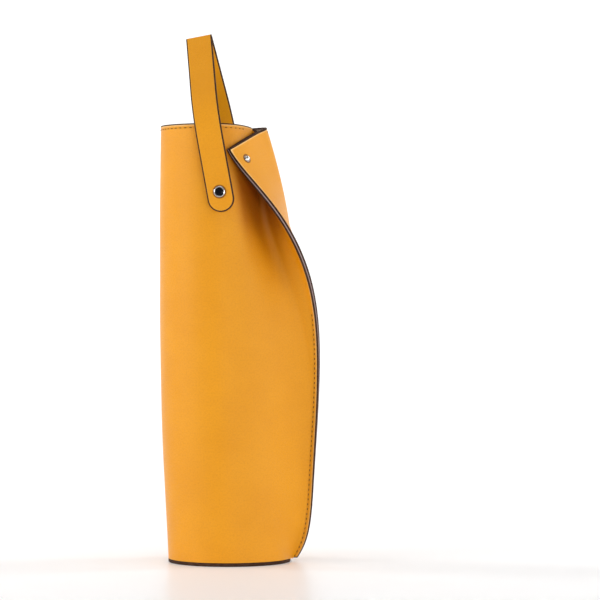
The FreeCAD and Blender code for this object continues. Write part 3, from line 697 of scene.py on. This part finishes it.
class CARRIER_OT_wall(bpy.types.Operator):
    """Wraps the leather wall with its fin, its folded flap and its lining"""

    bl_idname = "carrier.wall"
    bl_label = "Wall and lining"

    def execute(self, context):
        sizes = context.scene.carrier_sizes
        wall = Wall(sizes)
        self.leather(wall, sizes)
        self.lining(wall)
        return {"FINISHED"}

    def leather(self, wall, sizes):
        rounds = np.linspace(0.0, 1.0, WALL_COLUMNS)
        ups = np.linspace(wall.floor_up, 1.0, WALL_ROWS)
        middle = WALL_COLUMNS // 2
        outward = wall.outward(rounds, ups)
        base = wall.inner(rounds, ups)
        outer = base + outward * wall.thickness
        run = np.array([run_lengths(row) for row in outer])
        rise = np.array([run_lengths(column) for column in outer.swapaxes(0, 1)]).T
        side_gap = np.minimum(run, run[:, -1:] - run)
        rim_gap = rise[-1:] - rise
        inset = np.minimum(side_gap, np.minimum(rise, rim_gap))
        drift = self.drift(run, rise) * np.clip(inset / DRIFT_FADE, 0.0, 1.0)
        outer = outer + outward * drift[..., None]
        points, faces, slots = shell(outer, base + outward * wall.lining)
        bare = np.maximum(rim_gap - wall.rim_wrap(rounds, sizes) + sizes.edge_wrap, 0.0)
        sewn = (rounds > RIM_FRONT_SHARE) & (rounds < RIM_BACK_SHARE)
        values = {
            "edge_gap": np.minimum(side_gap, bare),
            "seam_gap": np.where(ups[:, None] < SEAM_TOP_SHARE, side_gap, FAR_OFF), "seam_run": rise,
            "rim_gap": np.where(sewn[None, :], rim_gap, FAR_OFF), "rim_run": run,
            "fold_shade": self.fold_shade(outer, ups)}
        sheet = np.stack([run - run[:, middle:middle + 1], rise], -1).reshape(-1, 2)
        piece = new_piece(
            "wall_leather", points, faces, ["Wall leather", "Lining cloth", "Edge paint"], slots,
            np.tile(sheet, (2, 1)), {key: np.tile(grid.ravel(), 2) for key, grid in values.items()})
        seat(piece, "carrier", "leather", "outer_leather")

    def fold_shade(self, outer, ups):
        """How much painted shade the fold under the flap gets, from each point's depth inside its row's
        convex outline and from how closely the flap covers the row."""
        depth = np.zeros(outer.shape[:2])
        for row, line in enumerate(outer[:, :, :2]):
            hull = line[convex_hull_2d(line.tolist())]
            ahead = np.roll(hull, -1, axis=0)
            inward = units(np.stack([hull[:, 1] - ahead[:, 1], ahead[:, 0] - hull[:, 0]], 1))
            depth[row] = np.min(np.abs(np.einsum("ihk,hk->ih", line[:, None] - hull[None], inward)), axis=1)
        share = np.clip((depth - FOLD_START) / FOLD_DEPTH, 0.0, 1.0)
        cover = np.interp(ups, *zip(*FOLD_COVER_SHARES))
        return share * share * (3.0 - 2.0 * share) * cover[:, None]

    def drift(self, run, rise):
        """Slow unevenness of soft leather."""
        waves = ((31.0, 17.0, 0.4), (53.0, -29.0, 1.9), (22.0, 71.0, 3.1), (-67.0, 41.0, 5.0))
        return DRIFT_DEPTH * sum(np.sin(run * across + rise * up + phase) for across, up, phase in waves)

    def lining(self, wall):
        rounds = np.linspace(0.0, 1.0, LINING_COLUMNS)
        ups = np.linspace(wall.floor_up, 1.0, LINING_ROWS)
        points, faces, slots = shell(wall.layer(rounds, ups, wall.lining), wall.inner(rounds, ups))
        piece = new_piece(
            "wall_lining", points, faces, ["Lining cloth", "Edge paint"], [slot // 2 for slot in slots])
        seat(piece, "carrier", "lining", "body_lining")


def painted_edge(name, near, far, near_out, far_out, tip, sizes, grooved, wrap):
    """A band of edge paint from one face round the cut edge to the other face. Each row of its crown
    has its share of the way across, its reach in wraps and in bulges, and its lift in films."""
    lip, dip = (0.9, 0.35) if grooved else (1.04, 1.06)
    crown = [
        (0.0, -1.0, 0.0, -1.0), (0.0, -1.0, 0.0, 1.0), (0.0, -0.4, 0.0, 1.3), (0.0, 0.0, 0.3, 0.8),
        (0.08, 0.0, 0.75, 0.0), (0.25, 0.0, 1.0, 0.0), (0.37, 0.0, 1.0, 0.0), (0.43, 0.0, lip, 0.0)]
    crown += [(0.5, 0.0, dip, 0.0)] + [(1.0 - share, *rest) for share, *rest in reversed(crown)]
    rows = []
    for share, wraps, bulges, films in crown:
        face = near_out if share < 0.5 else far_out
        reach = wraps * wrap + bulges * sizes.edge_bulge
        lift = films * sizes.edge_film
        rows.append(near * (1 - share) + far * share + tip * reach[:, None] + face * lift)
    grid = np.array(rows)
    count, columns = grid.shape[:2]
    index = np.arange(count * columns).reshape(count, columns)
    under = np.stack([index[0, :-1], index[0, 1:], index[-1, 1:], index[-1, :-1]], 1)
    faces = [*grid_faces(count, columns), *under, index[::-1, 0], index[:, -1]]
    in_groove = [0.9 if grooved and 0.4 < row[0] < 0.6 else 0.0 for row in crown]
    piece = solid_piece(
        name, grid.reshape(-1, 3), faces, ["Edge paint"],
        values={"layer_line": np.repeat(in_groove, columns)}, sharp=60.0)
    return seat(piece, "carrier", "leather_edge")


class CARRIER_OT_edges(bpy.types.Operator):
    """Paints the cut edges of the fin, the rim and the fin's foot"""

    bl_idname = "carrier.edges"
    bl_label = "Painted edges"

    def execute(self, context):
        sizes = context.scene.carrier_sizes
        wall = Wall(sizes)
        ups = np.linspace(wall.floor_up, 1.0, SEAM_POINTS)
        sides = [0.0, 1.0]
        outward = wall.outward(sides, ups)
        edge = wall.inner(sides, ups)
        inset = wall.inner([EDGE_STEP_SHARE, 1.0 - EDGE_STEP_SHARE], ups)
        tip = units(units(edge - inset).sum(axis=1))
        outer = edge + outward * wall.thickness
        painted_edge(
            "seam_edge_paint", outer[:, 0], outer[:, 1], outward[:, 0], outward[:, 1], tip, sizes, True,
            np.interp(ups, (SEAM_WIDE_SHARE, SEAM_TOP_SHARE), (sizes.seam_wrap, sizes.edge_wrap)))
        rounds = np.linspace(0.0, 1.0, RIM_POINTS)
        wrap = wall.rim_wrap(rounds, sizes)
        self.level_edge("rim_edge_paint", wall, sizes, rounds, 1.0, 1.0 - EDGE_STEP_SHARE, wrap)
        for name, first, last in (
                ("front_foot_paint", 0.0, FIN_FOOT_SHARE), ("back_foot_paint", 1.0, 1.0 - FIN_FOOT_SHARE)):
            rounds = np.linspace(first, last, FOOT_POINTS)
            fade = np.interp(np.abs(rounds - first), (0.6 * FIN_FOOT_SHARE, FIN_FOOT_SHARE), (1.0, 0.1))
            up = wall.floor_up
            self.level_edge(name, wall, sizes, rounds, up, up + EDGE_STEP_SHARE, sizes.seam_wrap * fade)
        return {"FINISHED"}

    def level_edge(self, name, wall, sizes, rounds, up, beside, wrap):
        """Paint on a level edge of the wall: beside is a height inside the edge."""
        outward = wall.outward(rounds, [up])[0]
        edge = wall.inner(rounds, [up])[0]
        tip = units(edge - wall.inner(rounds, [beside])[0])
        outer = edge + outward * wall.thickness
        painted_edge(name, outer, edge, outward, -outward, tip, sizes, False, wrap)


class CARRIER_OT_base(bpy.types.Operator):
    """Makes the round base with its painted edge, its board and its lining"""

    bl_idname = "carrier.base"
    bl_label = "Base"

    def execute(self, context):
        sizes = context.scene.carrier_sizes
        radius, thick, soft = sizes.base_radius, sizes.base_leather, BASE_SOFT
        under = [(0.0, 0.0), (radius * 0.6, 0.0), (radius - 3 * soft, 0.0)]
        profile = under + arc(soft, soft, -90, 0, (radius - soft, soft))
        profile += arc(soft, soft, 0, 90, (radius - soft, thick - soft))
        profile += [(radius - 4 * soft, thick), (0.0, thick)]
        points, faces, bands = turned(profile, (0.0, 0.0, 0.0), (0.0, 0.0, 1.0), BASE_STEPS)
        slots = [0 if band < len(under) - 1 else 1 for band in bands]
        gap = radius - np.hypot(points[:, 0], points[:, 1])
        piece = solid_piece(
            "base_disc", points, faces, ["Strap leather", "Edge paint"], slots, points[:, :2],
            {"edge_gap": gap}, sharp=50.0)
        seat(piece, "carrier", "leather_edge", "base_leather")
        dress_node("base_board", "Pressed board")
        dress_node("base_lining", "Lining cloth")
        return {"FINISHED"}


def stitch_tree():
    """Stitches on points that carry the directions along and out of the leather."""
    tree = bpy.data.node_groups.new("Stitch row", "GeometryNodeTree")
    sockets = (
        ("Points", "Geometry", None), ("Length", "Float", 0.0025), ("Radius", "Float", 0.0003),
        ("Rise", "Float", 0.0006), ("Dive", "Float", 0.0007), ("Twist", "Float", 0.1), ("Seed", "Int", 4),
        ("Finish", "Material", None))
    for key, kind, default in sockets:
        socket = tree.interface.new_socket(key, in_out="INPUT", socket_type="NodeSocket" + kind)
        if default is not None:
            socket.default_value = default
    tree.interface.new_socket("Stitches", in_out="OUTPUT", socket_type="NodeSocketGeometry")
    given = tree.nodes.new("NodeGroupInput").outputs

    def first_output(kind, inputs, **settings):
        return add_node(tree, kind, inputs, **settings).outputs[0]

    half, back = (calc(tree, "MULTIPLY", given["Length"], share) for share in (0.5, -0.5))
    down, other_twist = (calc(tree, "MULTIPLY", given[key], -1.0) for key in ("Dive", "Twist"))
    start, middle, end = (
        first_output("ShaderNodeCombineXYZ", place)
        for place in ({"X": back, "Z": down}, {"Z": given["Rise"]}, {"X": half, "Z": down}))
    bow = first_output(
        "GeometryNodeCurveQuadraticBezier", {"Resolution": 6, "Start": start, "Middle": middle, "End": end})
    section = first_output("GeometryNodeCurvePrimitiveCircle", {"Resolution": 6, "Radius": given["Radius"]})
    thread = first_output(
        "GeometryNodeCurveToMesh", {"Curve": bow, "Profile Curve": section, "Fill Caps": True})
    spots = first_output("GeometryNodeMeshToPoints", {"Mesh": given["Points"]})
    along, out = (
        first_output("GeometryNodeInputNamedAttribute", {"Name": name}, data_type="FLOAT_VECTOR")
        for name in ("along", "out"))
    turn = first_output(
        "FunctionNodeAxesToRotation", {0: out, 1: along}, primary_axis="Z", secondary_axis="X")
    chance = add_node(tree, "FunctionNodeRandomValue", {
        2: other_twist, 3: given["Twist"], "Seed": given["Seed"]}).outputs[1]
    twist = first_output("FunctionNodeAxisAngleToRotation", {"Axis": (0.0, 0.0, 1.0), "Angle": chance})
    twisted = first_output("FunctionNodeRotateRotation", {0: turn, 1: twist}, rotation_space="LOCAL")
    placed = first_output(
        "GeometryNodeInstanceOnPoints", {"Points": spots, "Instance": thread, "Rotation": twisted})
    real = first_output("GeometryNodeRealizeInstances", {0: placed})
    smooth = first_output("GeometryNodeSetShadeSmooth", {0: real})
    dressed = first_output("GeometryNodeSetMaterial", {"Geometry": smooth, "Material": given["Finish"]})
    plug(tree, tree.nodes.new("NodeGroupOutput"), {"Stitches": dressed})
    return tree


def stitch_piece(name, points, along, out, stitch, radius, seed):
    """A plain mesh of stitches at the points, made by the stitch tree."""
    mesh = bpy.data.meshes.new(name)
    mesh.from_pydata(points.tolist(), [], [])
    for key, data in (("along", along), ("out", out)):
        attribute = mesh.attributes.new(key, "FLOAT_VECTOR", "POINT")
        attribute.data.foreach_set("vector", np.asarray(data, np.float32).ravel())
    piece = bpy.data.objects.new(name, mesh)
    bpy.context.scene.collection.objects.link(piece)
    tree = bpy.data.node_groups.get("Stitch row") or stitch_tree()
    modifier = piece.modifiers.new("Stitches", "NODES")
    modifier.node_group = tree
    values = {
        "Length": stitch, "Radius": radius, "Rise": 2.4 * radius, "Dive": 2.0 * radius, "Twist": 0.09,
        "Seed": seed, "Finish": bpy.data.materials["Sewing thread"]}
    for item in tree.interface.items_tree:
        if item.item_type == "SOCKET" and item.in_out == "INPUT" and item.name in values:
            modifier[item.identifier] = values[item.name]
    graph = bpy.context.evaluated_depsgraph_get()
    made = bpy.data.meshes.new_from_object(piece.evaluated_get(graph))
    piece.modifiers.clear()
    piece.data = made
    made.name = name
    if len(made.polygons) < len(points):
        raise RuntimeError("the stitch tree made no thread for " + name)
    return piece


class CARRIER_OT_stitches(bpy.types.Operator):
    """Sews the fin seam on both faces and the rim"""

    bl_idname = "carrier.stitches"
    bl_label = "Stitches"

    def execute(self, context):
        sizes = context.scene.carrier_sizes
        wall = Wall(sizes)
        seams = [self.seam(wall, sizes, at_front) for at_front in (True, False)]
        row = [np.concatenate(parts) for parts in zip(*seams)]
        piece = stitch_piece(
            "seam_stitches", *row, SEAM_STITCH_SHARE * sizes.seam_pitch, sizes.thread_radius, SEAM_SEED)
        seat(piece, "carrier", "thread", "side_seam_thread")
        piece = stitch_piece(
            "rim_stitches", *self.rim(wall, sizes), RIM_STITCH_SHARE * sizes.rim_pitch, sizes.thread_radius,
            RIM_SEED)
        seat(piece, "carrier", "thread", "rim_thread")
        return {"FINISHED"}

    def row(self, wall, rounds, ups, count):
        """Even places on a line of the outer face that is given by its shares."""
        line = np.array([wall.layer([u], [v], wall.thickness)[0, 0] for u, v in zip(rounds, ups)])
        run = run_lengths(line)
        marks = (np.arange(count) + 0.5) * run[-1] / count
        shares = zip(np.interp(marks, run, rounds), np.interp(marks, run, ups))
        along = units(along_line(marks, run, np.gradient(line, run, axis=0)))
        out = np.array([wall.outward([u], [v])[0, 0] for u, v in shares])
        return along_line(marks, run, line), along, out

    def seam(self, wall, sizes, at_front):
        ups = np.linspace(wall.floor_up, SEAM_TOP_SHARE, SEAM_SEWN_POINTS)
        near = np.linspace(0.0, SEAM_SEARCH_SHARE, SEAM_SEARCH_POINTS)
        near = near if at_front else 1.0 - near
        across = wall.inner(near, ups)
        places = [np.interp(sizes.seam_inset, run_lengths(row), near) for row in across]
        count = int(run_lengths(across[:, 0])[-1] / sizes.seam_pitch)
        return self.row(wall, np.array(places), ups, count)

    def rim(self, wall, sizes):
        rounds = np.linspace(RIM_FRONT_SHARE, RIM_BACK_SHARE, RIM_SEWN_POINTS)
        ups = np.linspace(1.0, RIM_SEARCH_SHARE, RIM_SEARCH_POINTS)
        down = wall.inner(rounds, ups)
        places = [np.interp(sizes.rim_inset, run_lengths(down[:, k]), ups) for k in range(len(rounds))]
        line = np.array([wall.inner([u], [v])[0, 0] for u, v in zip(rounds, places)])
        count = int(run_lengths(line)[-1] / sizes.rim_pitch)
        return self.row(wall, rounds, np.array(places), count)


class StrapFrame:
    """The strap's own axes and its centre line from the front end over the crease to the rear end."""

    def __init__(self, sizes):
        wall = Wall(sizes)
        swivel, release = frame["joints"]
        self.axis = Vector(swivel["axis"]).normalized()
        self.side = -Vector(release["axis"]).normalized()
        self.up = self.side.cross(self.axis)
        self.ball = Vector(swivel["pos_m"])
        self.crease = Vector(release["pos_m"])
        self.rear_seat = wall.spot(REAR_ROUND_SHARE, wall.fastener_up)[0]
        half = (self.rear_seat - self.ball).length / 2
        front_face = half + sizes.socket_seat
        rear_face = half + sizes.rear_gap
        self.middle = (self.ball + self.rear_seat) / 2 + self.axis * ((rear_face - front_face) / 2)
        self.line = self.centre_line(sizes, (front_face + rear_face) / 2 + sizes.strap_layer)

    def centre_line(self, sizes, span):
        """One leg from its end round its bend to the crease, and its mirror image."""
        sine, cosine = math.sin(STRAP_BEND), math.cos(STRAP_BEND)
        radius, tight = sizes.strap_bend_radius, sizes.crease_radius
        top = sizes.fastener_drop + sizes.handle_rise
        straight = (span - radius * (1 - cosine)) / sine
        start = top - radius * sine - straight * cosine
        leg = [(-span, z) for z in np.linspace(-sizes.strap_end, start, LEG_POINTS)]
        for turn in np.linspace(0, STRAP_BEND, BEND_POINTS)[1:]:
            leg.append((-span + radius * (1 - math.cos(turn)), start + radius * math.sin(turn)))
        across, up = leg[-1]
        for far in np.linspace(0.0, straight - tight / math.tan(STRAP_BEND), LEG_POINTS)[1:]:
            leg.append((across + far * sine, up + far * cosine))
        for turn in np.linspace(STRAP_BEND - math.pi / 2, 0.0, FOLD_POINTS)[1:]:
            leg.append((tight * math.sin(turn), top - tight / sine + tight * math.cos(turn)))
        half = np.array(leg)
        rise = np.clip((half[:, 1] - start) / (top - start), 0.0, 1.0)
        half[:, 1] += sizes.crease_lift * rise ** 2
        return np.concatenate([half, half[-2::-1] * (-1, 1)])

    def spot(self, across, forth, up):
        return self.middle + self.side * across + self.axis * forth + self.up * up


class CARRIER_OT_strap(bpy.types.Operator):
    """Folds the two-layer strap from the snap over its crease to the rear rivet"""

    bl_idname = "carrier.strap"
    bl_label = "Strap handle"

    def execute(self, context):
        sizes = context.scene.carrier_sizes
        strap = StrapFrame(sizes)
        run = run_lengths(strap.line)
        total = run[-1]
        half_width = sizes.strap_width / 2
        ring, lead, wide = self.ring(sizes.strap_layer)
        points, uv, gaps = [], [], []
        for kind, value in self.stations(half_width, total):
            for share, inset, level in ring:
                along, reach = self.outline(kind, value, inset, half_width, total)
                across = share * reach
                centre, normal = self.station(strap.line, run, along)
                points.append(strap.spot(across, *(centre + normal * level)))
                uv.append((along, across))
                gaps.append(self.gap(along, across, half_width, total))
        around = len(ring)
        index = np.arange(len(points)).reshape(-1, around)
        strips = [ring_strip(low, high)[:, [0, 3, 2, 1]] for low, high in zip(index, index[1:])]
        faces = np.concatenate(strips)
        slots = [0 if k % around % lead < wide else 1 for k in range(len(faces))]
        piece = self.merged(np.array(points), faces, slots, np.array(uv), np.array(gaps))
        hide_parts("strap_front_outer", "strap_front_inner", "strap_rear_outer", "strap_rear_inner")
        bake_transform(piece)
        return {"FINISHED"}

    def ring(self, thick):
        """A section of the strap, each point with its share of the width, its inset from the border and
        its level, then the count of points on a face with a side and the count of a face's strips."""
        soft = STRAP_SOFT
        columns = np.linspace(-1.0, 1.0, STRAP_COLUMNS)
        side = [(0.35, 0.97), (0.08, 0.82), (0.0, 0.5), (0.04, 0.18), (0.28, 0.0)]
        side += [(inset, -level) for inset, level in side[-2::-1]]
        ring = [(share, soft, thick) for share in columns]
        ring += [(1.0, inset * soft, level * thick) for inset, level in side]
        ring += [(share, soft, -thick) for share in columns[::-1]]
        ring += [(-1.0, inset * soft, level * thick) for inset, level in reversed(side)]
        return ring, len(ring) // 2, len(columns) - 1

    def stations(self, half_width, total):
        """Rows along the strap: turns of its two round ends, and runs between them, closer at the crease."""
        turns = np.linspace(0.0, math.pi / 2, END_ROWS)
        crease = total / 2
        before = np.linspace(half_width, crease - CREASE_SPAN, STRAP_ROWS)[1:-1]
        fold = np.linspace(crease - CREASE_SPAN, crease + CREASE_SPAN, CREASE_ROWS)
        straight = np.concatenate([before, fold, total - before[::-1]])
        kinds = (("front", turns), ("straight", straight), ("rear", turns[::-1]))
        return [(kind, value) for kind, values in kinds for value in values]

    def outline(self, kind, value, inset, half_width, total):
        """Run along the strap and half width of a row at one inset from the strap's border."""
        reach = half_width - inset
        if kind == "straight":
            return value, reach
        along = half_width - reach * math.cos(value)
        return (along if kind == "front" else total - along), reach * math.sin(value)

    def station(self, line, run, along):
        """A point of the centre line and the direction out of the strap there."""
        behind, centre, ahead = along_line((along - STRAP_STEP, along, along + STRAP_STEP), run, line)
        slope = units(ahead - behind)
        return centre, np.array((-slope[1], slope[0]))

    def gap(self, along, across, half_width, total):
        """Distance from the strap's border."""
        from_end = min(along, total - along)
        if from_end >= half_width:
            return half_width - abs(across)
        return half_width - math.hypot(across, half_width - from_end)

    def merged(self, points, faces, slots, uv, gaps):
        """The strap's mesh with the points that fall together at its rounded ends made one."""
        keys = np.round(points * 1e7).astype(np.int64)
        first, index = np.unique(keys, axis=0, return_index=True, return_inverse=True)[1:]
        clean, kept = clean_faces(index.ravel()[faces], slots)
        return solid_piece(
            "strap", points[first], clean, ["Strap leather", "Edge paint"], kept, uv[first],
            {"edge_gap": gaps[first]}, sharp=55.0)


class CARRIER_OT_fasteners(bpy.types.Operator):
    """Turns the snap, the rear rivet and the flap's rivet, and plates their hidden pieces"""

    bl_idname = "carrier.fasteners"
    bl_label = "Snap and rivets"

    def execute(self, context):
        sizes = context.scene.carrier_sizes
        wall = Wall(sizes)
        strap = StrapFrame(sizes)
        thick = 2 * sizes.strap_layer
        front = -strap.axis
        self.snap(strap.ball + front * (sizes.socket_seat + thick + FASTENER_PLAY), front)
        rear_seat = strap.rear_seat + strap.axis * (sizes.rear_gap + thick + FASTENER_PLAY)
        self.dome("rear_rivet_dome", rear_seat, strap.axis, *REAR_DOME, "rear_rivet_cap")
        flap_seat, flap_out = wall.spot(FLAP_ROUND_SHARE, FLAP_UP_SHARE)
        flap_seat = flap_seat + flap_out * FASTENER_PLAY
        self.dome("flap_rivet_dome", flap_seat, flap_out, *FLAP_DOME, "flap_rivet_cap")
        hidden = (
            "snap_socket", "snap_stud", "snap_post", "rear_rivet_post", "rear_rivet_washer",
            "flap_rivet_post", "flap_rivet_back")
        for node in hidden:
            dress_node(node, "Plated steel")
        return {"FINISHED"}

    def round_piece(self, name, profile, place, axis, steps, finish):
        points, faces = turned(profile, place, axis, steps)[:2]
        return solid_piece(name, points, faces, [finish], sharp=50.0)

    def snap(self, place, axis):
        """The snap's bright ring with its well, and the dark boss in the well, whose black stands for the
        chrome cap's dark reflection: a painted reflection.
        """
        bead = (SNAP_RING - SNAP_WELL) / 2
        well = SNAP_TALL * 0.35
        profile = [(0.0, 0.0)] + arc(SNAP_LIP, SNAP_LIP, -90, 0, (SNAP_RING - SNAP_LIP, SNAP_LIP), 4)
        profile += arc(bead, SNAP_TALL * 0.55, 0, 180, (SNAP_RING - bead, SNAP_TALL * 0.45), 15)
        profile += [(SNAP_WELL, well), (0.0, well)]
        piece = self.round_piece("snap_ring", profile, place, axis, RING_STEPS, "Bright chrome")
        seat(piece, "strap_front", "chrome", "snap_cap")
        edge = SNAP_WELL - SNAP_GAP
        profile = [(0.0, well), (edge, well)] + arc(edge, SNAP_BOSS, 0, 90, (0.0, SNAP_TALL * 0.5), 9)
        profile[-1] = (0.0, profile[-1][1])
        piece = self.round_piece("snap_boss", profile, place, axis, DOME_STEPS, "Black enamel")
        seat(piece, "strap_front", "black_enamel", "snap_inlay")

    def dome(self, name, place, axis, radius, tall, node):
        lip = 0.12 * tall
        profile = [(0.0, 0.0)] + arc(lip, lip, -90, 60, (radius - lip, lip), 6)
        profile += arc(radius - 1.2 * lip, tall - 1.6 * lip, 8, 90, (0.0, 1.6 * lip), 14)
        profile[-1] = (0.0, tall)
        piece = self.round_piece(name, profile, place, axis, DOME_STEPS, "Bright chrome")
        seat(piece, "carrier", "chrome", node)


class CARRIER_OT_stage(bpy.types.Operator):
    """Sets the pale floor, the soft lights and the camera"""

    bl_idname = "carrier.stage"
    bl_label = "Stage"

    def execute(self, context):
        scene = context.scene
        self.floor()
        self.lights(scene)
        far, view_width = 2.2, 0.492
        lens = bpy.data.cameras.new("View")
        lens.sensor_width = 36.0
        lens.lens = lens.sensor_width * far / view_width
        camera = bpy.data.objects.new("View", lens)
        camera.location = (0.0578, -far, 0.214)
        camera.rotation_euler = (math.pi / 2, 0.0, 0.0)
        scene.collection.objects.link(camera)
        scene.camera = camera
        scene.view_settings.view_transform = "Standard"
        return {"FINISHED"}

    def floor(self):
        """A pale floor that sweeps up behind the carrier."""
        reach, back, bend, top = 6.0, 1.6, 1.2, 5.0
        line = [(-4.0, 0.0), (-1.0, 0.0), (0.0, 0.0), (0.6, 0.0)]
        for turn in np.linspace(0.0, math.pi / 2, 25):
            line.append((back + bend * math.sin(turn), bend * (1 - math.cos(turn))))
        line.append((back + bend, top))
        points = [(side * reach, forth, up) for forth, up in line for side in (-1, 1)]
        faces = [(2 * k, 2 * k + 1, 2 * k + 3, 2 * k + 2) for k in range(len(line) - 1)]
        tree, shader = new_material("Pale floor")
        haze = noise(tree, object_place(tree), 6.0, 2.0)["Fac"]
        plug(tree, shader, {
            "Base Color": mix_colour(tree, haze, (0.955, 0.95, 0.95), (0.97, 0.97, 0.97)),
            "Roughness": 0.34, "Specular IOR Level": 0.12})
        new_piece("floor", points, faces, ["Pale floor"])

    def lights(self, scene):
        world = bpy.data.worlds.new("Studio")
        world.use_nodes = True
        backdrop = world.node_tree.nodes["Background"]
        plug(world.node_tree, backdrop, {"Color": (1.0, 1.0, 1.0, 1.0), "Strength": 0.36})
        scene.world = world
        # Name, place, aim, width, height and power in watts
        boxes = (
            ("left box", (-1.84, -0.85, 0.56), (0.0, 0.0, 0.2), 1.0, 1.05, 21.0),
            ("right box", (1.78, -0.9, 0.46), (0.0, 0.0, 0.2), 1.2, 0.85, 13.0),
            ("front box", (0.55, -2.0, 0.22), (0.0, 0.0, 0.3), 0.8, 0.4, 9.0),
            ("top box", (0.0, -0.7, 1.9), (0.0, 0.0, 0.2), 1.2, 1.2, 5.5),
            ("left backdrop", (-1.7, 0.55, 1.3), (-0.2, 2.8, 0.5), 0.9, 1.5, 30.0),
            ("right backdrop", (1.7, 0.55, 1.3), (0.2, 2.8, 0.5), 0.9, 1.5, 30.0))
        for name, place, aim, wide, tall, power in boxes:
            light = bpy.data.lights.new(name, "AREA")
            light.shape = "RECTANGLE"
            light.size = wide
            light.size_y = tall
            light.energy = power
            lamp = bpy.data.objects.new(name, light)
            lamp.location = place
            lamp.rotation_euler = (Vector(aim) - Vector(place)).to_track_quat("-Z", "Y").to_euler()
            scene.collection.objects.link(lamp)


class CARRIER_PT_panel(bpy.types.Panel):
    bl_label = "Bottle carrier"
    bl_idname = "CARRIER_PT_panel"
    bl_space_type = "VIEW_3D"
    bl_region_type = "UI"
    bl_category = "Carrier"

    def draw(self, context):
        for operator in PIECES:
            self.layout.operator(operator.bl_idname)
        for group in (context.scene.carrier_sizes, context.scene.carrier_colours):
            box = self.layout.box()
            for key in group.bl_rna.properties.keys():
                if key not in ("rna_type", "name"):
                    box.prop(group, key)


PIECES = (
    CARRIER_OT_finishes, CARRIER_OT_stage, CARRIER_OT_wall, CARRIER_OT_edges, CARRIER_OT_base,
    CARRIER_OT_stitches, CARRIER_OT_strap, CARRIER_OT_fasteners)
CLASSES = (CarrierSizes, CarrierColours, *PIECES, CARRIER_PT_panel)


def register():
    for item in CLASSES:
        bpy.utils.register_class(item)
    bpy.types.Scene.carrier_sizes = bpy.props.PointerProperty(type=CarrierSizes)
    bpy.types.Scene.carrier_colours = bpy.props.PointerProperty(type=CarrierColours)


def unregister():
    del bpy.types.Scene.carrier_colours
    del bpy.types.Scene.carrier_sizes
    for item in reversed(CLASSES):
        bpy.utils.unregister_class(item)


def main():
    register()
    bpy.ops.carrier.finishes()
    bpy.ops.carrier.stage()
    bpy.ops.carrier.wall()
    bpy.ops.carrier.edges()
    bpy.ops.carrier.base()
    bpy.ops.carrier.stitches()
    bpy.ops.carrier.strap()
    bpy.ops.carrier.fasteners()


if __name__ == "__main__":
    main()
